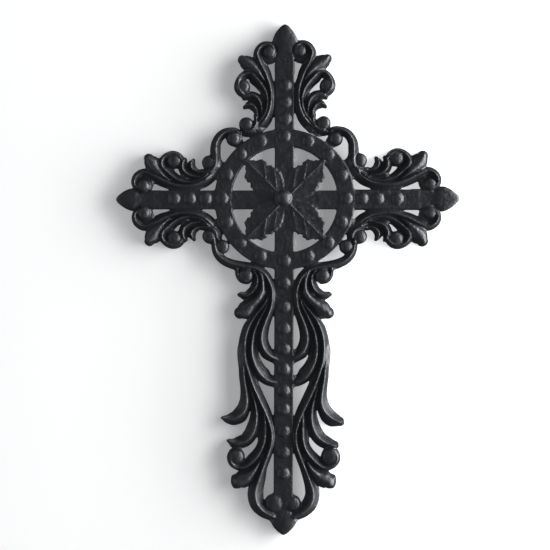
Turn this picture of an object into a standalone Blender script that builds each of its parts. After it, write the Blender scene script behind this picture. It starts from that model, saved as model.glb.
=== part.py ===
"""Cast iron wall cross: one flat-backed openwork casting, hung upright.

Frame: +X to the viewer's right, +Z up, the front faces -Y. The origin is at
the crossing of the two bars, on the flat back (Y = 0). Metres.

The plan is drawn in units of U. In the plan (x, z) lies in the wall plane and
a height is the distance forward from the flat back.
"""
import math

import bmesh
import bpy
from mathutils import Vector

# ---------------------------------------------------------------- dimensions
U = 0.0007            # one plan unit in metres

BAR_HALF = 9.2        # half width of both bars
BAR_TOP = 10.5        # height of the bars' flat front
ARM_TOP_END = 140.0   # where the top bar passes into its bud
ARM_SIDE = 0.98       # the two side arms are this much of the top arm's length
SHAFT_END = -309.0    # lower end of the shaft, behind the two end beads

RING_OUT = 68.6       # ring round the crossing
RING_IN = 53.6
RING_TOP = 11.4
RING_BEADS = 16
RING_BEAD_AT = 61.6   # radius on which the ring's beads sit

BEAD_R = 6.1          # beads along the bars and on the ring
BEAD_TOP = 15.8
ARM_BEADS = (82.5, 98.0, 114.0)
SHAFT_BEADS = (-83.9, -107.4, -128.9, -148.9, -169.4, -190.4, -209.4,
               -231.4, -252.4, -273.1)

BOSS_R = 7.6          # round boss in the middle of the leaf rosette
BOSS_TOP = 19.0
LEAF_EDGE = 12.0      # height of the leaves' rims
LEAF_CREST = 14.6

EDGE = 8.6            # height of a band's rim
CREST = 16.0          # height of a band's ridge
FOOT = 0.7            # how far a wall leans out from rim to back (draft)
BACK = 3.0            # stock behind the flat back, cut away at the end

BEAD_SIDES = 8
LONGEST = 26.0        # longest straight stretch between two band sections
TURN = math.radians(52.0)   # sharpest turn between two band sections

# ------------------------------------------------------- ornament, half an arm
# Each band is (x, z, width on the left, width on the right) along its ridge,
# for the right half of the top arm; (x, z) as seen from the front.
CURL_A = (            # rim round bead A, then down beside the bar
    (11.0, 149.5, 2.2, 2.2), (12.8, 153.8, 3.0, 2.6), (17.2, 156.0, 3.6, 3.0),
    (22.6, 154.6, 4.2, 3.2), (26.6, 150.6, 4.2, 3.4), (28.2, 145.8, 4.0, 3.8),
    (26.8, 139.8, 3.8, 4.6), (20.4, 126.6, 3.4, 5.4), (16.0, 114.4, 2.8, 5.4),
    (14.8, 102.0, 2.6, 5.4), (17.2, 88.0, 2.8, 6.0), (20.6, 81.2, 3.0, 6.4),
    (30.8, 70.0, 3.2, 6.6))
LOBE_B = (            # leaf lobe between the two curls
    (20.6, 119.0, 1.4, 1.4), (31.5, 132.5, 6.2, 5.8), (37.2, 137.4, 7.6, 7.4),
    (42.8, 141.2, 5.6, 5.6), (46.2, 143.6, 1.6, 1.6))
CURL_C = (            # rim round bead C and its stem
    (40.8, 104.6, 1.8, 1.8), (45.4, 107.8, 2.4, 2.6), (48.2, 113.4, 2.8, 3.0),
    (47.4, 119.4, 3.0, 3.2), (43.6, 124.8, 3.2, 3.2), (38.2, 127.4, 3.4, 3.2),
    (33.2, 126.2, 3.8, 3.0), (24.9, 117.4, 5.0, 2.8), (18.9, 105.2, 4.4, 2.6),
    (18.0, 96.0, 3.8, 2.4), (22.3, 83.8, 3.2, 2.6), (32.9, 71.6, 3.0, 3.0))
LEAF_D1 = (
    (23.9, 86.0, 1.6, 1.6), (25.2, 95.6, 3.0, 3.6), (28.6, 100.8, 4.6, 4.4),
    (33.4, 103.6, 4.6, 4.8), (38.4, 102.8, 3.0, 4.6), (42.4, 100.2, 1.2, 1.6))
LEAF_D2 = (
    (28.0, 80.4, 1.6, 1.8), (28.9, 87.8, 2.2, 3.0), (32.2, 92.6, 3.2, 4.0),
    (36.6, 94.0, 3.6, 4.4), (42.0, 90.6, 1.2, 1.4))
RIM_E = (
    (30.2, 84.5, 1.8, 1.8), (29.4, 79.2, 2.2, 2.2), (31.0, 73.6, 2.4, 2.4),
    (35.0, 70.0, 2.4, 2.4), (40.0, 69.0, 1.8, 1.8))
HALF_ARM = (CURL_A, LOBE_B, CURL_C, LEAF_D1, LEAF_D2, RIM_E)
HALF_ARM_BEADS = ((16.2, 145.4, 7.2), (40.6, 114.6, 7.8), (38.8, 76.6, 7.6))

# Upper corner scroll, right side; its tail runs into the side arm.
CURL_F = (
    (45.4, 67.6, 2.4, 2.2), (49.2, 70.4, 3.2, 2.8), (54.6, 70.6, 3.4, 3.6),
    (60.2, 68.4, 4.2, 4.2), (65.0, 64.0, 4.6, 5.0), (67.8, 57.8, 5.2, 5.6),
    (68.4, 48.6, 5.8, 6.0), (68.2, 39.8, 4.6, 5.6), (70.4, 33.0, 3.6, 5.6),
    (76.0, 27.4, 3.0, 5.6))
CORNER_BEADS = ((51.4, 61.4, 7.2),)

# Shaft, right side: lower corner scroll and the bands that flow down from it.
CURL_N = (
    (70.4, -40.5, 2.6, 2.4), (69.8, -47.5, 3.4, 3.2), (67.4, -54.0, 4.0, 4.0),
    (62.6, -59.4, 4.4, 4.4), (55.6, -63.4, 4.6, 4.6), (47.2, -65.8, 5.0, 4.8),
    (36.8, -67.6, 4.2, 5.0), (24.0, -71.8, 3.2, 4.8), (15.0, -84.0, 3.2, 5.0),
    (12.6, -98.0, 3.0, 5.4), (15.4, -112.0, 3.0, 5.6), (21.6, -127.4, 3.6, 6.8),
    (23.5, -138.0, 4.0, 7.6), (21.8, -146.6, 5.0, 7.6), (18.0, -152.2, 6.0, 7.0),
    (5.0, -158.6, 5.2, 6.0))
BAND_P2 = (
    (15.8, -100.0, 1.6, 1.6), (22.6, -115.4, 3.0, 2.8), (30.2, -131.4, 3.6, 3.8),
    (33.0, -147.0, 3.8, 6.0), (32.6, -154.6, 4.0, 7.0), (27.0, -169.6, 4.8, 7.8),
    (21.8, -176.0, 5.4, 7.0), (5.0, -182.0, 5.4, 6.2))
BAND_P3 = (           # outer band, then along the shaft and round the end bead
    (16.6, -98.0, 1.4, 1.4), (26.6, -112.8, 3.0, 2.8), (35.8, -127.2, 4.8, 3.4),
    (39.6, -143.6, 6.0, 3.8), (39.4, -155.6, 6.8, 4.2), (36.0, -170.4, 4.8, 5.0),
    (29.6, -189.2, 3.4, 6.6), (19.4, -210.6, 3.2, 6.4), (12.9, -229.4, 3.2, 5.2),
    (12.6, -241.0, 3.4, 5.0), (17.2, -257.6, 3.8, 4.8), (25.0, -278.4, 5.0, 5.8),
    (27.8, -288.0, 6.8, 6.8), (28.4, -297.0, 7.2, 7.4), (25.2, -305.6, 7.0, 7.2),
    (18.6, -312.2, 6.6, 6.6), (8.0, -317.0, 5.4, 6.0))
LEAF_J1 = (
    (41.6, -157.0, 4.8, 1.6), (40.4, -175.0, 4.6, 3.0), (37.8, -193.0, 5.8, 4.0),
    (37.4, -201.4, 7.2, 4.6), (39.6, -208.6, 7.6, 5.8), (44.2, -214.0, 7.2, 8.2),
    (50.0, -217.4, 5.8, 8.6), (56.2, -219.4, 3.8, 6.0), (61.4, -220.2, 1.4, 1.8))
LEAF_J2 = (
    (34.0, -186.0, 1.6, 1.6), (28.4, -206.0, 4.2, 3.8), (28.0, -220.0, 6.8, 4.8),
    (32.4, -233.8, 7.4, 6.4), (38.6, -240.0, 6.4, 7.0), (46.2, -243.8, 4.8, 6.0),
    (54.0, -245.6, 1.8, 1.8))
CURL_K = (
    (19.8, -212.0, 1.6, 1.6), (18.4, -229.0, 3.0, 2.8), (20.8, -246.0, 5.0, 3.0),
    (24.8, -254.0, 6.0, 3.2), (31.0, -261.4, 6.6, 3.4), (38.4, -266.8, 5.0, 3.4),
    (45.8, -267.4, 3.2, 3.0), (51.4, -263.8, 2.8, 3.0), (53.6, -258.0, 2.6, 2.8),
    (52.2, -252.6, 1.8, 2.0))
LOBE_L = (
    (24.0, -262.0, 1.8, 1.8), (35.4, -276.2, 6.0, 6.4), (42.4, -281.2, 8.8, 7.8),
    (48.4, -285.2, 5.0, 4.2), (51.6, -287.6, 1.4, 1.4))
RIM_G = (
    (47.4, -69.5, 2.0, 2.0), (47.0, -76.0, 2.2, 2.2), (43.4, -81.4, 2.2, 2.2),
    (37.6, -83.2, 1.8, 1.8))
LEAF_H1 = (
    (31.5, -70.5, 2.0, 1.8), (26.9, -80.0, 4.4, 2.4), (28.4, -88.2, 5.8, 2.8),
    (32.8, -93.4, 5.0, 3.4), (39.2, -96.4, 3.8, 4.0), (45.8, -94.6, 1.8, 2.4))
LOBE_H2 = (
    (25.0, -72.0, 1.8, 1.8), (21.0, -86.0, 2.8, 2.6), (26.0, -99.6, 4.6, 3.6),
    (32.0, -105.4, 6.6, 5.0), (39.2, -110.4, 8.6, 8.4), (45.4, -113.6, 5.4, 5.0),
    (49.4, -115.6, 1.6, 1.6))
SHAFT_SIDE = (CURL_N, BAND_P2, BAND_P3, LEAF_J1, LEAF_J2, CURL_K, LOBE_L,
              RIM_G, LEAF_H1, LOBE_H2)
SHAFT_SIDE_BEADS = ((62.2, -47.0, 7.0), (38.6, -76.4, 7.6), (46.9, -256.9, 8.2),
                    (9.9, -303.7, 8.4))

# Half outlines of the buds that end the bars, and of one rosette leaf,
# as (distance along, half width).
BUD = ((134.0, 9.0), (145.0, 7.0), (150.5, 6.8), (155.5, 11.0), (159.7, 12.4),
       (166.6, 9.6), (172.0, 5.2), (175.6, 0.0))
FOOT_BUD = ((308.0, 5.0), (314.0, 9.0), (320.8, 12.2), (327.0, 8.8),
            (332.4, 4.4), (335.4, 0.0))
LEAF = ((11.5, 3.0), (16.0, 10.0), (20.0, 14.0), (24.0, 15.4), (33.0, 14.0),
        (37.0, 12.6), (43.5, 12.9), (46.4, 11.2), (47.0, 7.8), (51.5, 6.4),
        (58.0, 0.0))


# ------------------------------------------------------------------- helpers
def world(x, z, h):
    return Vector((x * U, -h * U, z * U))


class Frame:
    """A placing of a plan drawn for the upper right: axes and a handedness."""

    def __init__(self, xx, xz, zx, zz):
        self.m = (xx, xz, zx, zz)
        self.flip = xx * zz - xz * zx < 0.0

    def at(self, x, z):
        xx, xz, zx, zz = self.m
        return x * xx + z * zx, x * xz + z * zz


K = ARM_SIDE
ARMS = (Frame(1, 0, 0, 1), Frame(-1, 0, 0, 1),       # top arm, right and left
        Frame(0, 1, K, 0), Frame(0, -1, K, 0),       # right arm, upper, lower
        Frame(0, 1, -K, 0), Frame(0, -1, -K, 0))     # left arm, upper, lower
SIDES = (Frame(1, 0, 0, 1), Frame(-1, 0, 0, 1))


def spline(rows, t):
    """Catmull-Rom through the rows, t from 0 to len(rows) - 1."""
    n = len(rows)
    i = min(int(t), n - 2)
    f = t - i
    p0, p1 = rows[max(i - 1, 0)], rows[i]
    p2, p3 = rows[i + 1], rows[min(i + 2, n - 1)]
    return [0.5 * (2 * b + (c - a) * f + (2 * a - 5 * b + 4 * c - d) * f * f
                   + (3 * b - a - 3 * c + d) * f ** 3)
            for a, b, c, d in zip(p0, p1, p2, p3)]


def sections(rows):
    """Sections along a band, closer together where it turns."""
    fine = 12
    pts = [spline(rows, i / fine) for i in range(fine * (len(rows) - 1) + 1)]
    keep = [0]
    length = turn = 0.0
    for i in range(1, len(pts) - 1):
        a = Vector((pts[i][0] - pts[i - 1][0], pts[i][1] - pts[i - 1][1]))
        b = Vector((pts[i + 1][0] - pts[i][0], pts[i + 1][1] - pts[i][1]))
        length += a.length
        if a.length > 1e-6 and b.length > 1e-6:
            turn += abs(a.angle(b))
        if length > LONGEST or turn > TURN:
            keep.append(i)
            length = turn = 0.0
    if len(pts) - 1 - keep[-1] < fine // 3 and len(keep) > 1:
        keep.pop()
    keep.append(len(pts) - 1)
    out = []
    for i in keep:
        a, b = pts[max(i - 1, 0)], pts[min(i + 1, len(pts) - 1)]
        d = Vector((b[0] - a[0], b[1] - a[1])).normalized()
        out.append((pts[i], d))
    return out


def add_object(name, mesh, group):
    obj = bpy.data.objects.new(name, mesh)
    group.objects.link(obj)
    return obj


def from_bmesh(name, bm, group):
    bmesh.ops.recalc_face_normals(bm, faces=bm.faces)
    mesh = bpy.data.meshes.new(name)
    bm.to_mesh(mesh)
    bm.free()
    return add_object(name, mesh, group)


count = [0]


def stock():
    """Depth of a piece's stock behind the back, a little apart from the rest."""
    count[0] += 1
    return -(BACK + 0.037 * (count[0] % 29))


def loft_band(name, rows, frame, group, crest=CREST, edge=EDGE, tip=0.82):
    """A ridged band: its section changes along it, in width and in height."""
    bm = bmesh.new()
    back = stock()
    secs = sections(rows)
    total = len(secs) - 1
    rings = []
    for i, ((x, z, wl, wr), d) in enumerate(secs):
        nx, nz = -d.y, d.x
        width = min((wl + wr) / 7.0, 1.0)
        top = edge + (crest - edge) * (tip + (1 - tip) * width) * min(1.0, 0.5 + width / 2)
        row = []
        for off, h in ((wl + FOOT, back), (wl, edge), (0.0, top), (-wr, edge),
                       (-wr - FOOT, back)):
            px, pz = frame.at(x + nx * off, z + nz * off)
            row.append(bm.verts.new(world(px, pz, h)))
        rings.append(row)
    for a, b in zip(rings, rings[1:]):
        for i in range(5):
            j = (i + 1) % 5
            bm.faces.new((a[i], a[j], b[j], b[i]))
    bm.faces.new(rings[0])
    bm.faces.new(list(reversed(rings[total])))
    return from_bmesh(name, bm, group)


def bead(name, x, z, r, top, group, low=None, sides=BEAD_SIDES, rings=6):
    """A bead: a dome on a round post that runs back past the casting's back."""
    bm = bmesh.new()
    bmesh.ops.create_uvsphere(bm, u_segments=sides, v_segments=rings, radius=1.0)
    rise = r if low is None else top - low
    back = stock()
    for v in bm.verts:
        h = top - rise + rise * v.co.z if v.co.z > -1e-4 else back
        v.co = world(x + v.co.x * r, z + v.co.y * r, h)
    return from_bmesh(name, bm, group)


def slab(name, half, along, top, crest, group, mid=None):
    """A bud or leaf: a half outline mirrored about its axis, with a ridge."""
    bm = bmesh.new()
    back = stock()

    def put(a, w, h):
        x, z = along(a, w)
        return bm.verts.new(world(x, z, h))

    n = len(half)
    pointed = half[-1][1] < 1e-6
    left, right, ridge, lback, rback = [], [], [], [], []
    for i, (a, w) in enumerate(half):
        last = i == n - 1 and pointed
        t = i / (n - 1)
        h = top + (crest - top) * (math.sin(math.pi * min(0.12 + 0.8 * t, 1.0)) ** 0.5)
        if last:
            p = put(a, 0.0, top)
            left.append(p)
            right.append(p)
            ridge.append(p)
            q = put(a + FOOT, 0.0, back)
            lback.append(q)
            rback.append(q)
            continue
        left.append(put(a, w, top))
        right.append(put(a, -w, top))
        ridge.append(put(a, 0.0, h))
        lback.append(put(a, w + FOOT, back))
        rback.append(put(a, -w - FOOT, back))

    def face(*vs):
        seen = []
        for v in vs:
            if v not in seen:
                seen.append(v)
        if len(seen) > 2:
            bm.faces.new(seen)

    for i in range(n - 1):
        face(left[i], left[i + 1], ridge[i + 1], ridge[i])
        face(ridge[i], ridge[i + 1], right[i + 1], right[i])
        face(lback[i], lback[i + 1], left[i + 1], left[i])
        face(right[i], right[i + 1], rback[i + 1], rback[i])
        face(rback[i], rback[i + 1], lback[i + 1], lback[i])
    face(left[0], ridge[0], right[0], rback[0], lback[0])
    return from_bmesh(name, bm, group)


def box(name, x0, x1, z0, z1, h0, h1, group, bevel=0.0):
    bm = bmesh.new()
    bmesh.ops.create_cube(bm, size=1.0)
    for v in bm.verts:
        v.co = world((x0 + x1) / 2 + v.co.x * (x1 - x0),
                     (z0 + z1) / 2 + v.co.z * (z1 - z0),
                     (h0 + h1) / 2 - v.co.y * (h1 - h0))
    obj = from_bmesh(name, bm, group)
    if bevel:
        mod = obj.modifiers.new("arris", "BEVEL")
        mod.width = bevel * U
        mod.segments = 1
        mod.limit_method = "ANGLE"
    return obj


def turned(name, profile, steps, group):
    """A turned ring: the profile (radius, height) is swung round the Y axis."""
    mesh = bpy.data.meshes.new(name)
    pts = [(r * U, -h * U, 0.0) for r, h in profile]
    edges = [(i, (i + 1) % len(pts)) for i in range(len(pts))]
    mesh.from_pydata(pts, edges, [])
    obj = add_object(name, mesh, group)
    mod = obj.modifiers.new("turn", "SCREW")
    mod.axis = "Y"
    mod.steps = mod.render_steps = steps
    mod.use_merge_vertices = True
    mod.merge_threshold = 0.00002
    mod.use_normal_calculate = True
    return obj


def material(name, colour, rough, metal):
    mat = bpy.data.materials.new(name)
    mat.use_nodes = True
    node = mat.node_tree.nodes["Principled BSDF"]
    node.inputs["Base Color"].default_value = (*colour, 1.0)
    node.inputs["Roughness"].default_value = rough
    node.inputs["Metallic"].default_value = metal
    return mat


def collection(name):
    group = bpy.data.collections.new(name)
    bpy.context.scene.collection.children.link(group)
    return group


# --------------------------------------------------------------------- build
def build():
    for obj in list(bpy.data.objects):
        bpy.data.objects.remove(obj, do_unlink=True)

    parts = collection("cast_iron_wall_cross")
    joined = collection("joined_forms")
    cutters = collection("cutters")

    # the shaft bar is the body that everything else is joined to
    shaft = box("cross_casting", -BAR_HALF, BAR_HALF, SHAFT_END, ARM_TOP_END,
                -BACK, BAR_TOP, parts, bevel=1.6)
    reach = ARM_TOP_END * ARM_SIDE
    box("arm_bar", -reach, reach, -BAR_HALF, BAR_HALF, -BACK - 0.4,
        BAR_TOP - 0.13, joined, bevel=1.6)

    turned("ring", ((RING_OUT - 1.6, RING_TOP), (RING_OUT, RING_TOP - 1.8),
                    (RING_OUT + FOOT, -BACK - 0.7), (RING_IN - FOOT, -BACK - 0.7),
                    (RING_IN, RING_TOP - 1.8), (RING_IN + 1.6, RING_TOP)),
           40, joined)

    step = 2 * math.pi / RING_BEADS
    for i in range(RING_BEADS):
        bead("ring_bead_%02d" % i, RING_BEAD_AT * math.sin(step * i),
             RING_BEAD_AT * math.cos(step * i), BEAD_R, BEAD_TOP + 0.3, joined,
             low=RING_TOP - 1.0, rings=4)
    for i, s in enumerate(ARM_BEADS):
        bead("top_bead_%d" % i, 0.0, s, BEAD_R, BEAD_TOP, joined,
             low=BAR_TOP - 1.0, rings=4)
        for side in (-1, 1):
            bead("side_bead_%d_%d" % (i, side), side * s * ARM_SIDE, 0.0, BEAD_R,
                 BEAD_TOP, joined, low=BAR_TOP - 1.0, rings=4)
    for i, s in enumerate(SHAFT_BEADS):
        bead("shaft_bead_%02d" % i, 0.0, s, BEAD_R, BEAD_TOP, joined,
             low=BAR_TOP - 1.0, rings=4)

    # the ornament of the three upper arms: one half arm, placed six times
    for f, frame in enumerate(ARMS):
        for b, rows in enumerate(HALF_ARM):
            loft_band("arm_%d_band_%d" % (f, b), rows, frame, joined,
                      crest=CREST + 0.11 * b, edge=EDGE + 0.17 * b)
        for b, (x, z, r) in enumerate(HALF_ARM_BEADS):
            px, pz = frame.at(x, z)
            bead("arm_%d_bead_%d" % (f, b), px, pz, r, 16.6, joined, low=9.4)

    for f, frame in enumerate(SIDES):
        loft_band("corner_%d" % f, CURL_F, frame, joined, crest=CREST + 0.4)
        for b, rows in enumerate(SHAFT_SIDE):
            loft_band("shaft_%d_band_%d" % (f, b), rows, frame, joined,
                      crest=CREST + 0.09 * b, edge=EDGE + 0.13 * b)
        for b, (x, z, r) in enumerate(CORNER_BEADS + SHAFT_SIDE_BEADS):
            px, pz = frame.at(x, z)
            bead("side_%d_bead_%d" % (f, b), px, pz, r, 16.6, joined, low=9.4)

    # buds at the four ends, leaves and boss of the rosette
    slab("bud_top", BUD, lambda a, w: (w, a), 10.0, 14.6, joined)
    slab("bud_right", BUD, lambda a, w: (a * ARM_SIDE, w), 10.0, 14.6, joined)
    slab("bud_left", BUD, lambda a, w: (-a * ARM_SIDE, w), 10.0, 14.6, joined)
    slab("bud_foot", FOOT_BUD, lambda a, w: (w, -a), 10.0, 14.6, joined)
    for i in range(4):
        ang = math.radians(45 + 90 * i)
        c, s = math.cos(ang), math.sin(ang)
        slab("leaf_%d" % i, LEAF, lambda a, w, c=c, s=s: (a * c - w * s, a * s + w * c),
             LEAF_EDGE, LEAF_CREST, joined)
    bead("boss", 0.0, 0.6, BOSS_R, BOSS_TOP, joined, low=12.4, sides=12)

    back_cut = box("back_cut", -260.0, 260.0, -420.0, 260.0, -40.0, 0.0, cutters)

    for obj in list(joined.objects) + [back_cut]:
        obj.hide_render = True
        obj.display_type = "WIRE"

    join = shaft.modifiers.new("join", "BOOLEAN")
    join.operation = "UNION"
    join.solver = "EXACT"
    join.operand_type = "COLLECTION"
    join.collection = joined
    cut = shaft.modifiers.new("flat_back", "BOOLEAN")
    cut.operation = "DIFFERENCE"
    cut.solver = "EXACT"
    cut.object = back_cut

    shaft.data.materials.append(material("black_cast_iron", (0.020, 0.020, 0.022), 0.5, 0.0))
    shaft.data.shade_smooth()
    shaft.data.set_sharp_from_angle(angle=math.radians(35))


build()
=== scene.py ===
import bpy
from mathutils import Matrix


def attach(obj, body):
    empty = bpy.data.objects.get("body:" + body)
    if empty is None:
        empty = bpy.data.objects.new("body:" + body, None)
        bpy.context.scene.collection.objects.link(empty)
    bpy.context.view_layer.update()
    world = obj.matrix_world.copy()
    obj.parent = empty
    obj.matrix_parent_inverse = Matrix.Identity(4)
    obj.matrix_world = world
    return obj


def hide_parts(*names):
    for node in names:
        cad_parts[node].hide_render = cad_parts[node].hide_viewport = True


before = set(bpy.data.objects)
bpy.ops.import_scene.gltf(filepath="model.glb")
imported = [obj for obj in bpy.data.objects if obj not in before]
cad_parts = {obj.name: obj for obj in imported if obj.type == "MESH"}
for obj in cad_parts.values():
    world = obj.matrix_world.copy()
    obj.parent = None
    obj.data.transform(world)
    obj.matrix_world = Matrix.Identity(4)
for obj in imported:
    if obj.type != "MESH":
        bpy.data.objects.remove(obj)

"""Looks of the cast iron wall cross.

One fine mesh stands for the casting. Its front is worked out as a relief: each
scroll band, lobe, bead, bud and leaf gives a height over the flat back, the
highest wins, and the surface is cut along the outline and along a line a
little outside it, where the drafted side walls reach the back.

Plan units are U metres; (x, z) lies in the wall plane, x to the right and z up
from the crossing of the bars, and heights are measured forward from the back.
"""
import math

import bpy
import numpy as np
from mathutils import Vector, geometry

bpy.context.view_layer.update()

U = 0.0007
STEP = 0.5                 # spacing of the relief's grid
FOOT = 0.22                # the side walls lean out this much down to the back
LIP = 0.42                 # rounding of the rim where front and wall meet
TARGET = 190000            # triangles in the finished mesh

X0, X1, Z0, Z1 = -180.0, 180.0, -341.0, 181.0

BAR_HALF, BAR_TOP = 9.2, 10.5
RING_OUT, RING_IN, RING_TOP = 70.2, 53.6, 11.0
RING_X, RING_Z = 0.1, 0.4
CREST = 15.4              # ridge of a band
VALLEY = 9.8              # hollow between two bands
RIM = 5.6                 # lowest edge of a band's free side

# ------------------------------------------------------------------ ornament
# Ridge lines: (x, z, width on the left of travel, width on the right), and
# where a fifth number is given, the share of the ridge's full height. The first
# group is the right half of the top arm, placed six times.
A = ((11.0, 149.5, 2.2, 2.2), (12.8, 153.8, 3.0, 2.6), (17.2, 156.0, 3.6, 3.0),
     (22.6, 154.6, 4.2, 3.2), (26.6, 150.6, 4.2, 3.4), (28.2, 145.8, 4.0, 3.8),
     (26.8, 139.8, 3.8, 6.0), (23.6, 132.6, 3.6, 6.6), (20.4, 126.6, 3.4, 6.2),
     (18.0, 120.6, 3.0, 5.4), (16.0, 114.4, 2.8, 5.4), (14.9, 108.4, 2.6, 5.2),
     (14.8, 102.0, 2.4, 5.2), (15.4, 95.0, 2.4, 5.4), (17.2, 88.0, 2.6, 6.0),
     (20.6, 81.2, 2.8, 6.4), (25.0, 76.0, 3.0, 6.4, 0.6), (28.6, 72.6, 3.0, 5.4, 0.05))
B = ((20.6, 119.0, 1.2, 1.2), (25.6, 126.0, 3.2, 3.2), (31.5, 132.5, 6.2, 5.8),
     (36.8, 136.8, 7.4, 7.2), (41.4, 139.8, 6.0, 6.0), (43.4, 141.2, 4.2, 4.2))
C = ((40.8, 104.6, 2.6, 1.8), (45.2, 107.8, 3.4, 2.6), (47.8, 113.4, 3.6, 3.0),
     (47.0, 119.4, 3.6, 3.2), (43.4, 124.8, 4.4, 3.2), (38.2, 127.4, 5.2, 3.2),
     (33.2, 126.2, 6.4, 3.0), (29.4, 122.6, 6.8, 3.0), (24.9, 117.4, 6.0, 2.8),
     (20.9, 111.6, 5.4, 2.6), (18.4, 105.2, 5.2, 2.4), (17.6, 98.0, 3.6, 2.2),
     (18.8, 90.6, 3.2, 2.2), (21.8, 83.8, 3.0, 2.4), (27.0, 77.6, 3.0, 2.6, 0.8),
     (31.0, 73.4, 3.0, 3.0, 0.1))
D1 = ((23.5, 86.0, 1.4, 1.4), (23.9, 92.0, 2.0, 2.6), (25.2, 97.6, 3.0, 3.6),
      (28.6, 102.4, 4.4, 4.4), (33.4, 105.0, 4.4, 4.8), (38.4, 104.6, 3.2, 4.6),
      (41.8, 102.8, 1.6, 2.2))
D2 = ((28.0, 82.0, 1.4, 1.6), (28.9, 89.4, 2.2, 3.0), (32.2, 94.4, 3.2, 4.0),
      (36.6, 96.0, 3.4, 4.4), (41.4, 93.6, 1.4, 1.8))
E = ((30.2, 84.5, 1.6, 1.8), (29.4, 79.2, 2.0, 3.2), (31.0, 73.6, 2.4, 5.4),
     (35.0, 70.0, 2.4, 6.4), (40.0, 69.0, 1.8, 5.0))
HALF_ARM = (A, B, C, D1, D2, E)
A_UPPER = tuple((r[0], r[1], r[2], r[3] + 0.7) + r[4:] if 94 < r[1] < 122 else r for r in A)
B_RIGHT = B[:2] + ((31.5, 132.5, 6.4, 7.6), (36.8, 136.8, 8.0, 9.4), (41.0, 139.6, 6.9, 7.6),
                   (43.0, 140.8, 5.2, 5.4))
B_LEFT = B[:3] + ((36.8, 136.8, 7.6, 8.2), (41.2, 139.8, 6.6, 6.9), (43.2, 141.0, 4.8, 4.8))
HALF_ARM_WEBS = ((16.5, 145.2, 8.0), (27.0, 71.4, 3.8), (28.2, 77.6, 3.2), (22.6, 102.6, 3.2))
HALF_ARM_BEADS = ((16.0, 146.0, 6.6), (40.6, 113.6, 7.6), (38.3, 76.4, 7.2))

F = ((45.4, 67.6, 2.4, 2.2), (49.2, 70.4, 3.2, 2.8), (54.6, 70.6, 3.4, 3.6),
     (60.2, 68.6, 4.2, 4.0), (65.2, 64.4, 4.6, 4.2), (68.4, 58.2, 5.0, 4.4),
     (69.2, 51.8, 5.4, 4.8), (69.0, 45.8, 5.4, 4.6), (69.0, 39.8, 4.4, 4.6),
     (70.2, 34.0, 3.6, 5.2), (74.6, 28.6, 3.0, 5.6))

# The right side of the shaft.
N = ((70.4, -40.5, 2.6, 2.4), (69.8, -47.5, 3.4, 3.2), (67.4, -54.0, 4.0, 4.0),
     (62.6, -59.4, 4.4, 4.4), (55.6, -63.4, 4.6, 4.6), (47.2, -65.8, 5.0, 4.8),
     (38.8, -67.4, 4.4, 5.0), (30.8, -68.8, 3.0, 5.0), (24.0, -71.8, 3.0, 4.8),
     (18.8, -77.0, 3.0, 4.8), (15.0, -84.0, 3.0, 5.0), (12.9, -91.5, 3.0, 5.0),
     (12.6, -98.0, 3.0, 5.0), (13.4, -105.0, 2.6, 5.0), (15.4, -112.0, 2.6, 5.4),
     (18.6, -119.6, 3.0, 6.0), (21.6, -127.4, 3.4, 6.8), (23.3, -134.6, 3.6, 7.4),
     (23.4, -140.6, 3.8, 7.6), (21.8, -146.6, 4.2, 7.6), (18.0, -152.2, 6.0, 7.0),
     (12.0, -156.8, 5.0, 6.0, 0.7), (6.0, -159.2, 5.0, 5.0, 0.15))
P2 = ((15.8, -100.0, 1.4, 1.4), (18.6, -107.6, 2.2, 2.2), (22.6, -115.4, 2.8, 2.6),
      (26.8, -123.4, 3.2, 3.0), (30.2, -131.4, 3.4, 3.6), (32.2, -139.4, 3.4, 5.0),
      (33.0, -147.0, 3.4, 6.0), (32.6, -154.6, 3.6, 7.0), (30.6, -162.0, 4.0, 7.8),
      (27.0, -169.6, 4.6, 8.6), (21.8, -176.0, 5.2, 9.0), (14.8, -180.2, 5.2, 6.2, 0.8),
      (6.0, -181.6, 5.0, 5.4, 0.15))
P3 = ((16.6, -98.0, 1.2, 1.2), (21.0, -106.0, 2.2, 2.0), (26.6, -112.8, 2.8, 2.6),
      (31.8, -119.6, 3.2, 2.8), (35.8, -127.2, 5.0, 3.2), (38.4, -135.2, 5.4, 3.4),
      (39.6, -143.6, 6.0, 3.6), (39.6, -152.6, 6.9, 3.8), (38.4, -161.6, 6.0, 4.2),
      (36.0, -170.4, 4.6, 5.0), (33.4, -179.4, 3.4, 6.0), (29.6, -189.2, 3.0, 6.4),
      (24.6, -200.0, 3.0, 6.4), (19.4, -210.6, 3.0, 6.2), (15.4, -220.4, 3.0, 5.6),
      (12.9, -229.4, 3.0, 4.8), (12.2, -237.6, 3.2, 4.6), (13.6, -246.8, 3.4, 4.6),
      (17.2, -257.6, 3.6, 4.8), (21.2, -268.0, 4.0, 5.0), (25.0, -278.4, 4.6, 5.8),
      (28.2, -288.0, 6.2, 7.0), (28.8, -297.0, 6.8, 7.4), (25.4, -305.6, 7.2, 7.4),
      (18.6, -312.2, 6.6, 6.6), (10.0, -316.4, 5.4, 6.0))
J1 = ((43.6, -148.0, 2.0, 1.4, 0.1), (42.6, -158.0, 3.6, 3.2, 0.4),
      (41.2, -168.0, 4.2, 4.2, 0.8), (40.4, -176.0, 4.6, 3.6),
      (39.2, -184.0, 4.8, 3.2), (37.8, -193.0, 5.8, 3.8), (37.4, -201.4, 7.2, 4.4),
      (39.6, -208.6, 7.6, 5.6), (44.2, -214.0, 7.2, 8.4), (49.8, -217.8, 6.0, 8.6),
      (54.2, -220.0, 5.0, 6.2), (56.4, -220.8, 4.2, 4.6))
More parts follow.
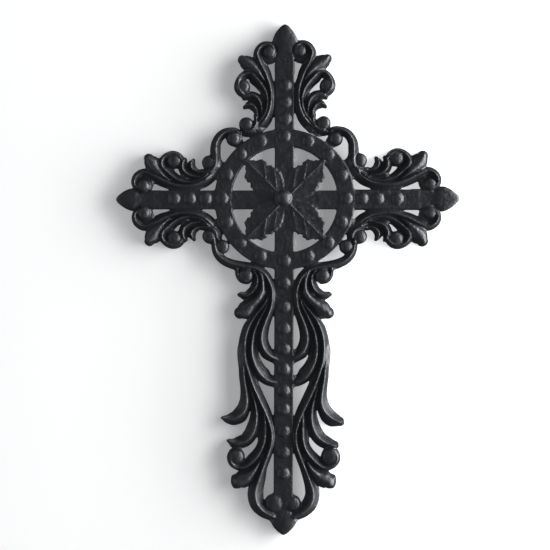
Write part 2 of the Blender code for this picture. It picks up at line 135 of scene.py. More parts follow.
J1_LEFT = ((44.0, -213.0, 7.2, 8.8), (49.6, -215.8, 5.6, 8.8), (55.0, -216.8, 3.6, 7.4),
           (59.4, -217.0, 1.8, 4.4), (61.8, -216.8, 1.0, 1.6))
J2 = ((34.0, -186.0, 1.2, 1.2), (30.8, -196.0, 2.6, 2.4), (28.4, -206.0, 4.2, 3.6),
      (27.6, -215.6, 6.0, 4.4), (28.8, -225.4, 7.4, 5.2), (32.4, -233.8, 7.4, 6.4),
      (38.6, -240.0, 6.4, 7.0), (46.2, -243.8, 5.2, 6.0), (51.6, -245.2, 3.6, 3.6))
J2_LEFT = ((45.6, -241.8, 5.2, 6.8), (51.0, -241.8, 3.2, 5.8), (54.8, -240.2, 1.0, 2.4))
K = ((19.8, -212.0, 1.4, 1.4), (18.8, -220.0, 5.0, 2.2), (18.4, -229.0, 7.0, 2.6),
     (18.9, -238.0, 6.6, 2.8), (20.8, -246.0, 5.6, 2.8), (24.8, -254.0, 6.0, 3.0),
     (31.0, -261.4, 6.6, 3.2), (38.4, -266.8, 5.0, 3.2), (45.8, -267.4, 3.2, 3.0),
     (51.4, -263.8, 2.8, 3.0), (53.6, -258.0, 2.6, 2.8), (52.2, -252.6, 1.8, 2.0))
L = ((24.0, -262.0, 1.6, 1.6), (29.0, -269.6, 3.2, 3.6), (35.4, -276.2, 6.2, 7.2),
     (41.0, -279.8, 8.4, 8.6), (44.8, -281.6, 7.2, 7.4), (45.4, -282.0, 6.6, 6.8))
G = ((47.4, -69.5, 1.8, 2.0), (47.0, -76.0, 2.0, 2.2), (43.4, -81.4, 2.0, 2.2),
     (37.6, -83.2, 1.6, 1.8))
H1 = ((31.5, -70.5, 1.8, 1.6), (27.8, -76.0, 3.0, 2.0), (26.9, -82.0, 4.6, 2.2),
      (28.4, -88.2, 5.8, 2.6), (32.8, -93.4, 5.0, 3.6), (39.2, -96.2, 3.6, 5.0),
      (44.6, -95.2, 2.2, 3.2))
H2 = ((25.0, -72.0, 1.6, 1.6), (21.8, -79.0, 2.4, 2.2), (21.0, -86.0, 2.8, 2.4),
      (22.2, -93.0, 3.2, 4.4), (26.0, -99.6, 4.6, 5.0), (32.0, -105.4, 6.8, 5.4),
      (38.6, -110.4, 8.6, 9.4), (43.0, -113.0, 6.8, 7.6), (44.2, -113.6, 6.0, 6.0))
SHAFT_SIDE = (N, P2, P3, J1, J2, K, L, G, H1, H2)
SIDE_BEADS = ((51.4, 61.3, 7.0), (62.2, -47.0, 6.9), (38.4, -76.4, 7.5),
              (46.9, -256.8, 8.0))
FOOT_BEADS = ((-10.8, -304.2, 8.8), (8.2, -304.4, 7.8))
L_END = ((49.8, -278.2, 2.2, 2.2), (49.3, -282.4, 2.6, 2.6), (48.4, -286.2, 2.2, 2.2))
ROUND = (B, B_RIGHT, B_LEFT, L, L_END, H2)     # lobes that swell between their rims

BUD = ((128.0, 9.0), (138.0, 9.0), (145.0, 7.6), (150.5, 7.2), (155.5, 11.0),
       (159.7, 12.4), (166.6, 9.6), (172.0, 5.4), (174.4, 2.8), (175.6, 0.0))
FOOT_BUD = ((300.0, 2.0), (308.0, 5.0), (314.0, 9.0), (318.4, 12.2), (321.4, 13.0),
            (324.0, 12.1), (327.6, 10.0), (331.2, 6.8), (333.8, 3.6), (335.0, 1.8), (335.6, 0.0))
LEAF = ((5.0, 5.5), (7.8, 7.8), (11.2, 9.6), (15.4, 12.6), (21.0, 15.0), (27.0, 15.6),
        (32.3, 15.0), (36.8, 12.6), (41.0, 13.4), (45.2, 11.5), (47.4, 8.0),
        (51.0, 4.6), (55.0, 2.6), (57.8, 0.0))
LEAF_VEINS = (((8.0, 0.0), (55.0, 0.0)), ((14.7, 3.0), (28.7, 13.2)),
              ((27.6, 0.8), (40.5, 10.4)), ((14.7, -3.0), (28.7, -13.2)),
              ((27.6, -0.8), (40.5, -10.4)))

BEAD_TOP = 13.1
ARM_BEADS = ((81.0, 77.6, -79.0), (97.6, 93.4, -94.8), (114.3, 112.9, -110.5))
SHAFT_BEADS = (-83.9, -107.4, -128.9, -148.9, -169.4, -190.4, -209.4, -231.4,
               -252.4, -273.1)

# -------------------------------------------------------------- relief grid
NX = int(round((X1 - X0) / STEP)) + 1
NZ = int(round((Z1 - Z0) / STEP)) + 1
GX = X0 + STEP * np.arange(NX)
GZ = Z0 + STEP * np.arange(NZ)
FAR = -9.0
depth = np.full((NZ, NX), FAR)         # distance inside the outline
high = np.zeros((NZ, NX))              # height of the front


def window(x0, x1, z0, z1):
    i0 = max(int((x0 - X0) / STEP) - 1, 0)
    i1 = min(int((x1 - X0) / STEP) + 3, NX)
    j0 = max(int((z0 - Z0) / STEP) - 1, 0)
    j1 = min(int((z1 - Z0) / STEP) + 3, NZ)
    return slice(j0, j1), slice(i0, i1)


def soft_max(a, b, k):
    h = np.maximum(k - np.abs(a - b), 0.0) / k
    return np.maximum(a, b) + h * h * k * 0.25


forms = []


def add(where, d, height, fillet=2.4, blend=0.8):
    """Join a form: d is the distance inside its own outline. height gives its
    front, once every outline is known, from the distance to the joint one."""
    depth[where] = soft_max(depth[where], d, fillet)
    forms.append((where, d, height, blend))


def raise_front():
    """The heights of all forms; where two meet, the higher one wins."""
    for where, d, height, blend in forms:
        h = height(depth[where])
        old = high[where]
        if d is None:
            high[where] = np.maximum(old, h)
            continue
        new = soft_max(old, h, blend)
        high[where] = np.where(d > -3.5, np.where(old > 0.0, new, h), old)


def spline(rows, fine):
    """Catmull-Rom through the rows."""
    r = np.array(rows, float)
    n = len(r)
    out = []
    for i in range(n - 1):
        a, b, c, d = r[max(i - 1, 0)], r[i], r[i + 1], r[min(i + 2, n - 1)]
        for f in np.arange(fine) / fine:
            out.append(0.5 * (2 * b + (c - a) * f + (2 * a - 5 * b + 4 * c - d) * f * f
                              + (3 * b - a - 3 * c + d) * f ** 3))
    out.append(r[-1])
    return np.array(out)


def band(rows, place, crest=CREST, power=2.2, rounded=False):
    """A ridged band along a line, scooped on both sides of its ridge."""
    xx, xz, zx, zz, ox, oz, lean = place
    p = spline([row if len(row) == 5 else row + (1.0,) for row in rows], 6)
    q = np.stack([p[:, 0] * xx + p[:, 1] * zx + ox, p[:, 0] * xz + p[:, 1] * zz + oz], 1)
    wl, wr = p[:, 2].copy(), p[:, 3].copy()
    tall = np.clip(p[:, 4], 0.0, 1.0)
    if xx * zz - xz * zx < 0.0:
        wl, wr = wr, wl
    # the ridges lean over to the right, and the outline stays
    lean = 0.0 if rounded else lean
    way = np.gradient(q, axis=0)
    way /= np.maximum(np.hypot(way[:, 0], way[:, 1]), 1e-6)[:, None]
    aside = -way[:, 1] * lean * np.clip(np.minimum(wl, wr) / 2.4, 0.0, 1.0)
    q[:, 0] += lean * np.clip(np.minimum(wl, wr) / 2.4, 0.0, 1.0)
    wl, wr = np.maximum(wl - aside, 1.0), np.maximum(wr + aside, 1.0)
    reach = max(wl.max(), wr.max()) + 4.0
    win = window(q[:, 0].min() - reach, q[:, 0].max() + reach,
                 q[:, 1].min() - reach, q[:, 1].max() + reach)
    shape = (win[0].stop - win[0].start, win[1].stop - win[1].start)
    best = np.full(shape, 1e9)
    side_w = np.ones(shape)
    rise = np.ones(shape)
    j0, i0 = win[0].start, win[1].start
    total = len(q) - 1
    for s in range(total):
        a, b = q[s], q[s + 1]
        sub = window(min(a[0], b[0]) - reach, max(a[0], b[0]) + reach,
                     min(a[1], b[1]) - reach, max(a[1], b[1]) + reach)
        js, is_ = sub
        lj = slice(js.start - j0, js.stop - j0)
        li = slice(is_.start - i0, is_.stop - i0)
        px = GX[is_][None, :] - a[0]
        pz = GZ[js][:, None] - a[1]
        dx, dz = b - a
        t = np.clip((px * dx + pz * dz) / max(dx * dx + dz * dz, 1e-9), 0.0, 1.0)
        ex, ez = px - t * dx, pz - t * dz
        dist = np.sqrt(ex * ex + ez * ez)
        left = dx * pz - dz * px > 0.0
        w = np.where(left, wl[s] + t * (wl[s + 1] - wl[s]), wr[s] + t * (wr[s + 1] - wr[s]))
        cur = best[lj, li]
        if cur.shape != dist.shape:
            m0, m1 = min(cur.shape[0], dist.shape[0]), min(cur.shape[1], dist.shape[1])
            lj = slice(lj.start, lj.start + m0)
            li = slice(li.start, li.start + m1)
            dist, w, t = dist[:m0, :m1], w[:m0, :m1], t[:m0, :m1]
            cur = best[lj, li]
        take = dist < cur
        best[lj, li] = np.where(take, dist, cur)
        side_w[lj, li] = np.where(take, w, side_w[lj, li])
        rise[lj, li] = np.where(take, tall[s] + t * (tall[s + 1] - tall[s]), rise[lj, li])
    d = side_w - best
    u = np.clip(best / side_w, 0.0, None)
    full = np.clip(side_w / 3.4, 0.0, 1.0)          # narrow stretches stay lower
    top = VALLEY + (crest - VALLEY) * (0.45 + 0.55 * full) * rise
    f = np.clip(1.0 - u, 0.0, 1.0)

    def height(whole):
        # a side that is the outline falls straight and far, one that meets
        # a neighbour is scooped and ends in a shallow valley
        free = np.clip(1.0 - (whole - d) / 1.6, 0.0, 1.0)
        low = VALLEY + (RIM - VALLEY) * free
        if rounded:
            g = 0.85 * np.sqrt(np.clip(1 - (1 - f) ** 2, 0, 1)) + 0.15 * f
        else:
            g = f ** (power + (1.15 - power) * free)
        h = low + (top - low) * g
        return np.where(d < 0.0, low + d, h)
    add(win, d, height)


def dome(x, z, r, top, base, foot=None):
    """A bead: a dome that rises from base; foot is the height of its own rim."""
    win = window(x - r - 5, x + r + 5, z - r - 5, z + r + 5)
    px, pz = GX[win[1]][None, :] - x, GZ[win[0]][:, None] - z
    dist = np.sqrt(px * px + pz * pz)
    t = np.clip(dist / r, 0.0, 1.0)
    h = base + (top - base) * np.sqrt(np.clip(1.0 - t * t, 0.0, 1.0))
    d = r - dist
    if foot is not None:
        h = np.where(d < 0.0, foot + d, h)
        add(win, d, lambda whole: h, blend=0.5)
    else:
        forms.append((win, None, lambda whole: np.where(d > 0.0, h, 0.0), 0.0))


def bar(x0, x1, z0, z1, top, arris=0.6, skew=0.0):
    win = window(x0 - 5, x1 + 5, z0 - 5, z1 + 5)
    px, pz = GX[win[1]][None, :], GZ[win[0]][:, None]
    px = px - skew * np.minimum(pz, 0.0)
    d = np.minimum(np.minimum(px - x0, x1 - px), np.minimum(pz - z0, z1 - pz))
    t = np.clip(1.0 - d / arris, 0.0, 1.0)
    h = top - 0.9 * arris * (1.0 - np.sqrt(np.clip(1.0 - t * t, 0.0, 1.0)))
    h = np.where(d < 0.0, top - 0.9 * arris + d, h)
    add(win, d, lambda whole: h)


def half_outline(half, place, height, fillet=2.4, teeth=0.0):
    """A form with a mirrored outline: half gives (along, half width)."""
    a = np.array(half, float)
    xx, xz, zx, zz, ox, oz = place[:6]
    reach = a[:, 1].max() + 5.0
    ends = np.array([[s * w, p] for p in (a[0, 0] - 4, a[-1, 0] + 4) for w in (reach,) for s in (-1, 1)])
    ex = ends[:, 0] * xx + ends[:, 1] * zx + ox
    ez = ends[:, 0] * xz + ends[:, 1] * zz + oz
    win = window(ex.min(), ex.max(), ez.min(), ez.max())
    px, pz = np.meshgrid(GX[win[1]] - ox, GZ[win[0]] - oz)
    det = xx * zz - xz * zx
    q = (px * zz - pz * zx) / det
    p = (-px * xz + pz * xx) / det
    fine = spline([(r[0], r[1]) for r in half], 8)
    if teeth:                           # a serrated rim
        wave = 0.35 * np.sin(2.3 * fine[:, 0]) + np.sin(1.15 * fine[:, 0] + 0.6)
        fine[:, 1] += teeth * wave * np.clip((fine[:, 0] - 18.0) / 6.0, 0, 1) \
            * np.clip((56.0 - fine[:, 0]) / 3.0, 0, 1)
    # signed distance to the mirrored outline
    loop = np.concatenate([fine, fine[::-1] * (1, -1)])
    loop = loop[np.r_[True, np.abs(np.diff(loop, axis=0)).sum(1) > 1e-9]]
    best = np.full(p.shape, 1e9)
    for s in range(len(loop)):
        b0, b1 = loop[s], loop[(s + 1) % len(loop)]
        dx, dz = b1 - b0
        if abs(dx) + abs(dz) < 1e-9:
            continue
        t = np.clip(((p - b0[0]) * dx + (q - b0[1]) * dz) / (dx * dx + dz * dz), 0, 1)
        best = np.minimum(best, np.hypot(p - b0[0] - t * dx, q - b0[1] - t * dz))
    order = np.argsort(fine[:, 0])
    w = np.interp(p, fine[order, 0], fine[order, 1])
    inside = (p > fine[0, 0]) & (p < fine[-1, 0]) & (np.abs(q) < w)
    d = np.where(inside, best, -best)
    h = height(p, q, np.maximum(w, 0.3), d)
    add(win, d, lambda whole: h, fillet=fillet)


def bud_height(first, last, neck, edge=9.0, crest=12.5):
    """A spade: flat as the bar up to its neck, then domed."""
    def height(p, q, w, d):
        u = np.clip(np.abs(q) / w, 0.0, 1.0)
        t = np.clip((p - first) / (last - first), 0.0, 1.0)
        swell = np.sin(math.pi * np.clip(0.08 + 0.86 * t, 0, 1)) ** 0.6
        h = edge + (crest - edge) * swell * np.sqrt(1 - u ** 2)
        far = np.clip((p - neck + 3.0) / 13.0, 0.0, 1.0)
        far = far * far * (3 - 2 * far)
        h = BAR_TOP + (h - BAR_TOP) * far
        low = BAR_TOP - 0.7 + (edge - BAR_TOP + 0.7) * far
        return np.where(d < 0.0, low + d, h)
    return height


def seg_dist(p, q, a, b):
    dx, dz = b[0] - a[0], b[1] - a[1]
    t = np.clip(((p - a[0]) * dx + (q - a[1]) * dz) / (dx * dx + dz * dz), 0, 1)
    return np.hypot(p - a[0] - t * dx, q - a[1] - t * dz), t


def leaf_height(p, q, w, d):
    u = np.clip(np.abs(q) / w, 0.0, 1.0)
    t = np.clip((p - 5.0) / 52.8, 0.0, 1.0)
    h = 11.9 + 0.5 * (1.0 - u) - 0.3 * t
    near = np.full(p.shape, 1e9)
    for a, b in LEAF_VEINS:
        near = np.minimum(near, seg_dist(p, q, a, b)[0])
    h = h - 0.45 * np.clip(near / 4.0, 0, 1)
    # the rim curls up a little
    h = h + 0.25 * np.exp(-((d - 1.2) / 0.8) ** 2)
    h = np.minimum(h, 11.0 + 1.3 * np.clip(d, 0.0, None))
    return np.where(d < 0.0, 11.0 + d, h)


def leaf_lines(angle, ox):
    """The leaf's veins, too fine for the relief's smoothing."""
    c, s = math.cos(angle), math.sin(angle)
    px, pz = np.meshgrid(GX - ox, GZ)
    p, q = px * c + pz * s, -px * s + pz * c
    out = np.zeros(p.shape)
    for i, (a, b) in enumerate(LEAF_VEINS):
        dist, t = seg_dist(p, q, a, b)
        size = (0.5 if i == 0 else 0.42) * (1.0 - 0.4 * t)
        out = np.maximum(out, size * np.exp(-(dist / 0.5) ** 2))
    return out


# Where a drawing is placed: its two axes, an offset, and how far the ridges
# lean to the right. The arms are drawn as the right half of the top one; the
# left arm of the cross is a little shorter than the right one.
ARMS = ((1, 0, 0, 1, -0.2, 0.7, 0.2), (-1, 0, 0, 1, 0.9, -0.5, 0.5),
        (0, 1, 0.985, 0, 0.1, 1.0, 0.1), (0, -0.985, 0.985, 0, 0.1, 1.0, 0.1),
        (0, 0.96, -0.938, 0, -3.8, 0.2, 0.5), (0, -0.97, -0.938, 0, -3.4, 0.5, 0.5))
BUDS = ((1, 0, 0, 1, 0.5, 0.0), (0, 1, 1, 0, -0.5, 1.0), (0, 0.88, -0.938, 0, -4.0, 0.2))
SIDES = ((1, 0, 0, 1, 0, 0, 0.3), (-1, 0, 0, 1, 0, 0, 1.0))
# The lower part was set by hand on the pattern: it leans a little to the left
# and its scrolls sit lower; (z, rise) pairs, and (z, x) for the right and left.
RISE = ((-330, 0.0), (-300, -0.5), (-285, -0.5), (-250, -0.8), (-215, -1.7), (-160, -1.2),
        (-95, 0.8), (-60, 0.0))
DRIFT = (((-335, -0.5), (-300, -0.5), (-250, -1.0), (-100, -0.4), (-60, -0.1)),
         ((-335, -1.0), (-320, -2.0), (-305, -1.5), (-285, -1.2), (-250, -1.3),
          (-200, -0.7), (-100, -0.3), (-60, -0.2)))
SKEW = 0.004               # the bar's own lean
LEAN = 0.0                 # of the beads


def relief():
    bar(-BAR_HALF - 0.4, BAR_HALF + 0.2, -309.0, 136.0, BAR_TOP, skew=SKEW)
    bar(-135.0, 135.0, -BAR_HALF, BAR_HALF, BAR_TOP)
    bar(60.0, 135.0, -BAR_HALF, BAR_HALF + 0.7, BAR_TOP)

    # ring
    win = window(-RING_OUT - 5, RING_OUT + 5, -RING_OUT - 5, RING_OUT + 5)
    px, pz = GX[win[1]][None, :] - RING_X, GZ[win[0]][:, None] - RING_Z
    rad = np.sqrt(px * px + pz * pz)
    d = np.minimum(RING_OUT - rad, rad - RING_IN)
    t = np.clip(1.0 - d / 0.7, 0.0, 1.0)
    h = RING_TOP - 0.6 * (1.0 - np.sqrt(np.clip(1.0 - t * t, 0.0, 1.0)))
    h = np.where(d < 0.0, RING_TOP - 0.6 + d, h)
    add(win, d, lambda whole, h=h: h)

    for place in ARMS:
        xx, xz, zx, zz, ox, oz, _ = place
        for rows in HALF_ARM:
            if rows is A and xx == 0 and xz > 0:
                rows = A_UPPER
            elif rows is B and xx == 0:
                rows = B_RIGHT if zx > 0 else B_LEFT
            band(rows, place, rounded=rows in ROUND)
        for x, z, r in HALF_ARM_WEBS:
            dome(x * xx + z * zx + ox, x * xz + z * zz + oz, r, 9.2, 8.9, foot=8.6)
        for x, z, r in HALF_ARM_BEADS:
            if xx == 0 and z > 140:
                x, z = x - 1.5, z + (2.2 if zx > 0 else 0.6)
            elif zx == 0:
                x, z = (x, z + 2.4) if z > 140 else (x + 2.6, z) if z > 100 else (x + 0.9, z - 0.6)
            dome(x * xx + z * zx + ox + LEAN, x * xz + z * zz + oz, r, 13.8, 9.4, foot=8.6)
    rz, dz = np.array(RISE, float).T
    for place, drift in zip(SIDES, DRIFT):
        xz, dx = np.array(drift, float).T
        side = place[0]
        band([(r[0], r[1] - (1.4 if side < 0 else 0.0)) + tuple(r[2:]) for r in F], place)
        for rows in SHAFT_SIDE:
            if side < 0:                # two tips flare more on the left
                rows = J1[:8] + J1_LEFT if rows is J1 else J2[:7] + J2_LEFT if rows is J2 else rows
            moved = [(r[0] + side * np.interp(r[1], xz, dx), r[1] + np.interp(r[1], rz, dz))
                     + tuple(r[2:]) for r in rows]
            if side < 0 and rows is P3:     # a fuller loop at the foot
                moved = [r[:3] + (r[3] + 1.5,) if -304 < r[1] < -276 else r for r in moved]
            band(moved, place, rounded=rows in ROUND)
        end = [(r[0] + side * np.interp(r[1], xz, dx), r[1] + np.interp(r[1], rz, dz)) + r[2:]
               for r in L_END]
        band(end, place, crest=12.6, rounded=True)
        for x, z, r in SIDE_BEADS:
            if z < 0:
                x, z = x + side * np.interp(z, xz, dx), z + np.interp(z, rz, dz)
            if side > 0 and z < -250:
                x, r = x + 0.3, r + 1.2
            dome(x * side + LEAN, z, r, 13.8, 9.4, foot=8.6)
    for x, z, r in FOOT_BEADS:
        dome(x, z, r, 12.9, 9.6, foot=8.8)

    half_outline(BUD, BUDS[0], bud_height(140, 176, 147))
    half_outline(BUD, BUDS[1], bud_height(140, 176, 147))
    half_outline(BUD, BUDS[2], bud_height(140, 176, 147))
    half_outline(FOOT_BUD, (1, 0, 0, -1, -1.0, 0.0), bud_height(304, 336, 306))

    for i in range(4):
        ang = math.radians(45 + 90 * i)
        c, s = math.cos(ang), math.sin(ang)
        half_outline(LEAF, (-s, c, c, s, 0.3, 0), leaf_height, fillet=0.6, teeth=0.5)

    # beads on the bars and on the ring, and the boss
    for i in range(16):
        a = 2 * math.pi * i / 16
        dome(62.1 * math.sin(a), 1.1 + 62.2 * math.cos(a), 5.9, 13.2, RING_TOP - 0.4)
    for s in ARM_BEADS:
        dome(0.8, s[0], 6.0, BEAD_TOP, BAR_TOP - 0.4)
        dome(s[1], 1.1, 6.0, BEAD_TOP, BAR_TOP - 0.4)
        dome(s[2], 0.9, 6.0, BEAD_TOP, BAR_TOP - 0.4)
    for s in SHAFT_BEADS:
        dome(SKEW * s, s - (0.5 if s < -140 else 0.0), 6.0, BEAD_TOP, BAR_TOP - 0.4)
    dome(-0.9, 1.4, 7.8, 17.4, 11.4)
    # the webs beside the beads over the ring, and where the arms leave it
    for x, z, r in ((-47.2, 58.5, 5.6), (47.2, 58.5, 5.6), (-65.0, 33.0, 6.0), (65.0, 35.0, 7.0),
                    (17.5, -93.5, 3.0), (-17.8, -93.5, 3.0), (21.8, -258.0, 3.0), (-23.8, -258.0, 3.0),
                    (-66.5, 25.5, 5.0), (67.0, 26.0, 5.0), (-66.5, -24.5, 5.0), (67.0, -24.5, 5.0),
                    (28.4, -92.4, 3.4), (-25.0, -90.8, 3.4)):
        dome(x, z, r, 8.7, 8.5, foot=8.3)


def blur(a, sigma, weight=None):
    """Separable Gaussian over the grid; with a weight, only inside it."""
    r = int(3 * sigma) + 1
    k = np.exp(-0.5 * (np.arange(-r, r + 1) / sigma) ** 2)
    k /= k.sum()

    def run(v):
        for axis in (0, 1):
            pad = [(r, r) if ax == axis else (0, 0) for ax in (0, 1)]
            w = np.pad(v, pad, mode="edge")
            out = np.zeros_like(v)
            for i, c in enumerate(k):
                sl = [slice(None), slice(None)]
                sl[axis] = slice(i, i + v.shape[axis])
                out += c * w[tuple(sl)]
            v = out
        return v
    if weight is None:
        return run(a)
    return run(a * weight) / np.maximum(run(weight), 1e-6)


def value_noise(scale, seed):
    """Smooth random field over the grid, about -1 to 1."""
    rng = np.random.default_rng(seed)
    nz, nx = int((Z1 - Z0) / scale) + 3, int((X1 - X0) / scale) + 3
    g = rng.uniform(-1, 1, (nz, nx))
    fx, fz = (GX - X0) / scale, (GZ - Z0) / scale
    ix, iz = fx.astype(int), fz.astype(int)
    tx, tz = fx - ix, fz - iz
    tx, tz = tx * tx * (3 - 2 * tx), tz * tz * (3 - 2 * tz)
    a = g[np.ix_(iz, ix)] * (1 - tx) + g[np.ix_(iz, ix + 1)] * tx
    b = g[np.ix_(iz + 1, ix)] * (1 - tx) + g[np.ix_(iz + 1, ix + 1)] * tx
    return a * (1 - tz)[:, None] + b * tz[:, None]


# --------------------------------------------------------------------- mesh
def split(verts, vals, tris, level, keep_low):
    """Cut the triangles along the line where their value passes level.

    verts (n, k) and vals (n,); gives new verts, vals, tris. Triangles below
    the level are kept or dropped. Values on the new line equal level."""
    v = vals[tris] >= level
    n = v.sum(1)
    whole = tris[n == 3]
    out = [whole]
    low = [tris[n == 0]] if keep_low else []
    new_v, new_val = [verts], [vals]
    # turn each crossing triangle so that the odd vertex comes first
    mixed = (n == 1) | (n == 2)
    m, f = tris[mixed], v[mixed]
    one = n[mixed] == 1
    odd = np.where(one[:, None], f, ~f).argmax(1)
    idx = (odd[:, None] + np.arange(3)) % 3
    m = np.take_along_axis(m, idx, 1)
    a, b, c = m.T

    def key(p, q):
        return np.minimum(p, q).astype(np.int64) * len(verts) + np.maximum(p, q)
    kab, kac = key(a, b), key(a, c)
    keys, inv = np.unique(np.concatenate([kab, kac]), return_inverse=True)
    p, q = keys // len(verts), keys % len(verts)
    t = np.clip((level - vals[p]) / np.where(vals[q] == vals[p], 1e-9, vals[q] - vals[p]), 0.06, 0.94)
    new_v.append(verts[p] + (verts[q] - verts[p]) * t[:, None])
    new_val.append(np.full(len(keys), level))
    iab = len(verts) + inv[:len(kab)]
    iac = len(verts) + inv[len(kab):]
    # the corner triangle, and the two on the other side
    corner = np.stack([a, iab, iac], 1)
    rest = np.concatenate([np.stack([iab, b, c], 1), np.stack([iab, c, iac], 1)])
    both = np.concatenate([one, one])
    out += [corner[one], rest[~both]]
    if keep_low:
        low += [corner[~one], rest[both]]
    tris = np.concatenate(out + low)
    return np.concatenate(new_v), np.concatenate(new_val), tris


def compact(verts, vals, tris):
    used, inv = np.unique(tris, return_inverse=True)
    return verts[used], vals[used], inv.reshape(-1, 3)


def sample(field, x, z):
    fx = np.clip((x - X0) / STEP, 0, NX - 1.001)
    fz = np.clip((z - Z0) / STEP, 0, NZ - 1.001)
    ix, iz = fx.astype(int), fz.astype(int)
    tx, tz = fx - ix, fz - iz
    return ((field[iz, ix] * (1 - tx) + field[iz, ix + 1] * tx) * (1 - tz)
            + (field[iz + 1, ix] * (1 - tx) + field[iz + 1, ix + 1] * tx) * tz)


def back_faces(pts, edges):
    """Triangles of the flat back inside its closed outlines.

    edges are directed with the metal on their left."""
    co, _, faces, orig_v, _, _ = geometry.delaunay_2d_cdt(
        [Vector(p) for p in pts], [tuple(e) for e in edges], [], 0, 1e-7, True)
    first = [o[0] if o else -1 for o in orig_v]
    wall = {(a, b) for a, b in edges}
    state = {}
    lookup = {}
    tri = []
    for f in faces:
        t = [first[i] for i in f]
        a, b, c = (Vector(pts[i]) for i in t)
        if (b - a).cross(c - a) < 0:
            t.reverse()
        tri.append(t)
    for i, t in enumerate(tri):
        for k in range(3):
            lookup[(t[k], t[(k + 1) % 3])] = i
    stack = []
    for e in wall:
        if e in lookup:
            state[lookup[e]] = True
            stack.append(lookup[e])
    while stack:
        t = tri[stack.pop()]
        for k in range(3):
            a, b = t[k], t[(k + 1) % 3]
            if (a, b) in wall or (b, a) in wall:
                continue
            n = lookup.get((b, a))
            if n is not None and n not in state:
                state[n] = True
                stack.append(n)
    return [tri[i] for i in sorted(state)], min(first) >= 0 and len(co) == len(pts)


def casting():
    relief()
    raise_front()
    inside = (depth > -0.6).astype(float)
    h = blur(high, 0.62 / STEP, inside)
    # the casting's skin: a slow unevenness and a fine sand grain
    for k in range(4):
        h = h + leaf_lines(math.radians(45 + 90 * k), 0.3)
    h = h + 0.22 * value_noise(7.0, 3) + 0.13 * value_noise(2.6, 5) + 0.14 * value_noise(1.3, 7)
    lip = np.clip(1.0 - depth / LIP, 0.0, 1.0)
    h = h - 1.05 * LIP * (1.0 - np.sqrt(np.clip(1.0 - lip * lip, 0.0, 1.0)))
    h = np.maximum(h, 2.0)
    ix, iz = np.meshgrid(np.arange(NX - 1), np.arange(NZ - 1))
    node = (iz * NX + ix).ravel()
    a, b, c, e = node, node + 1, node + NX + 1, node + NX
    live = np.maximum.reduce([depth.ravel()[k] for k in (a, b, c, e)]) > -FOOT
    a, b, c, e = a[live], b[live], c[live], e[live]
    flip = ((ix.ravel() + iz.ravel())[live] % 2).astype(bool)
    tris = np.concatenate([
        np.stack([a, b, c], 1)[~flip], np.stack([a, c, e], 1)[~flip],
        np.stack([a, b, e], 1)[flip], np.stack([b, c, e], 1)[flip]])
    xx, zz = np.meshgrid(GX, GZ)
    verts = np.stack([xx.ravel(), zz.ravel()], 1)
    vals = depth.ravel()
    verts, vals, tris = compact(verts, vals, tris)
    verts, vals, tris = split(verts, vals, tris, -FOOT, False)
    verts, vals, tris = compact(verts, vals, tris)
    verts, vals, tris = split(verts, vals, tris, 0.0, True)
    verts, vals, tris = compact(verts, vals, tris)
    top = sample(h, verts[:, 0], verts[:, 1])
    hv = np.where(vals >= 0.0, top, top * (1.0 + vals / FOOT))
    hv = np.where(vals <= -FOOT + 1e-9, 0.0, hv)
    # outline at the back: edges used once
    ed = np.concatenate([tris[:, [0, 1]], tris[:, [1, 2]], tris[:, [2, 0]]])
    und = np.sort(ed, 1)
    _, inv, cnt = np.unique(und[:, 0].astype(np.int64) * len(verts) + und[:, 1],
                            return_inverse=True, return_counts=True)
    rim = ed[cnt[inv] == 1]
    used = np.unique(rim)
    remap = {int(g): i for i, g in enumerate(used)}
    redges = [(remap[int(p)], remap[int(q)]) for p, q in rim]
    faces_back, ok = back_faces([tuple(v) for v in verts[used]], redges)
    print("outline", len(used), "back faces", len(faces_back), "clean", ok)
    back = used[np.array(faces_back)][:, ::-1]
    # seen from the front (-Y) the plan's anticlockwise triangles face forward
    faces = np.concatenate([tris, back])
    co = np.stack([verts[:, 0] * U, -hv * U, verts[:, 1] * U], 1)
    mesh = bpy.data.meshes.new("cross_casting_fine")
    mesh.vertices.add(len(co))
    mesh.vertices.foreach_set("co", co.astype(np.float32).ravel())
    mesh.loops.add(faces.size)
    mesh.loops.foreach_set("vertex_index", faces.astype(np.int32).ravel())
    mesh.polygons.add(len(faces))
    mesh.polygons.foreach_set("loop_start", np.arange(0, faces.size, 3, dtype=np.int32))
    mesh.update(calc_edges=True)
    mesh.validate()
    obj = bpy.data.objects.new("cross_casting_fine", mesh)
    bpy.context.scene.collection.objects.link(obj)
    print("relief triangles", len(faces))
    return obj, h


def apply_modifiers(obj):
    dg = bpy.context.evaluated_depsgraph_get()
    mesh = bpy.data.meshes.new_from_object(obj.evaluated_get(dg))
    obj.modifiers.clear()
    old = obj.data
    obj.data = mesh
    bpy.data.meshes.remove(old)


def thin(obj):
    n = len(obj.data.polygons)
    mod = obj.modifiers.new("thin", "DECIMATE")
    mod.ratio = min(1.0, TARGET / n)
    apply_modifiers(obj)


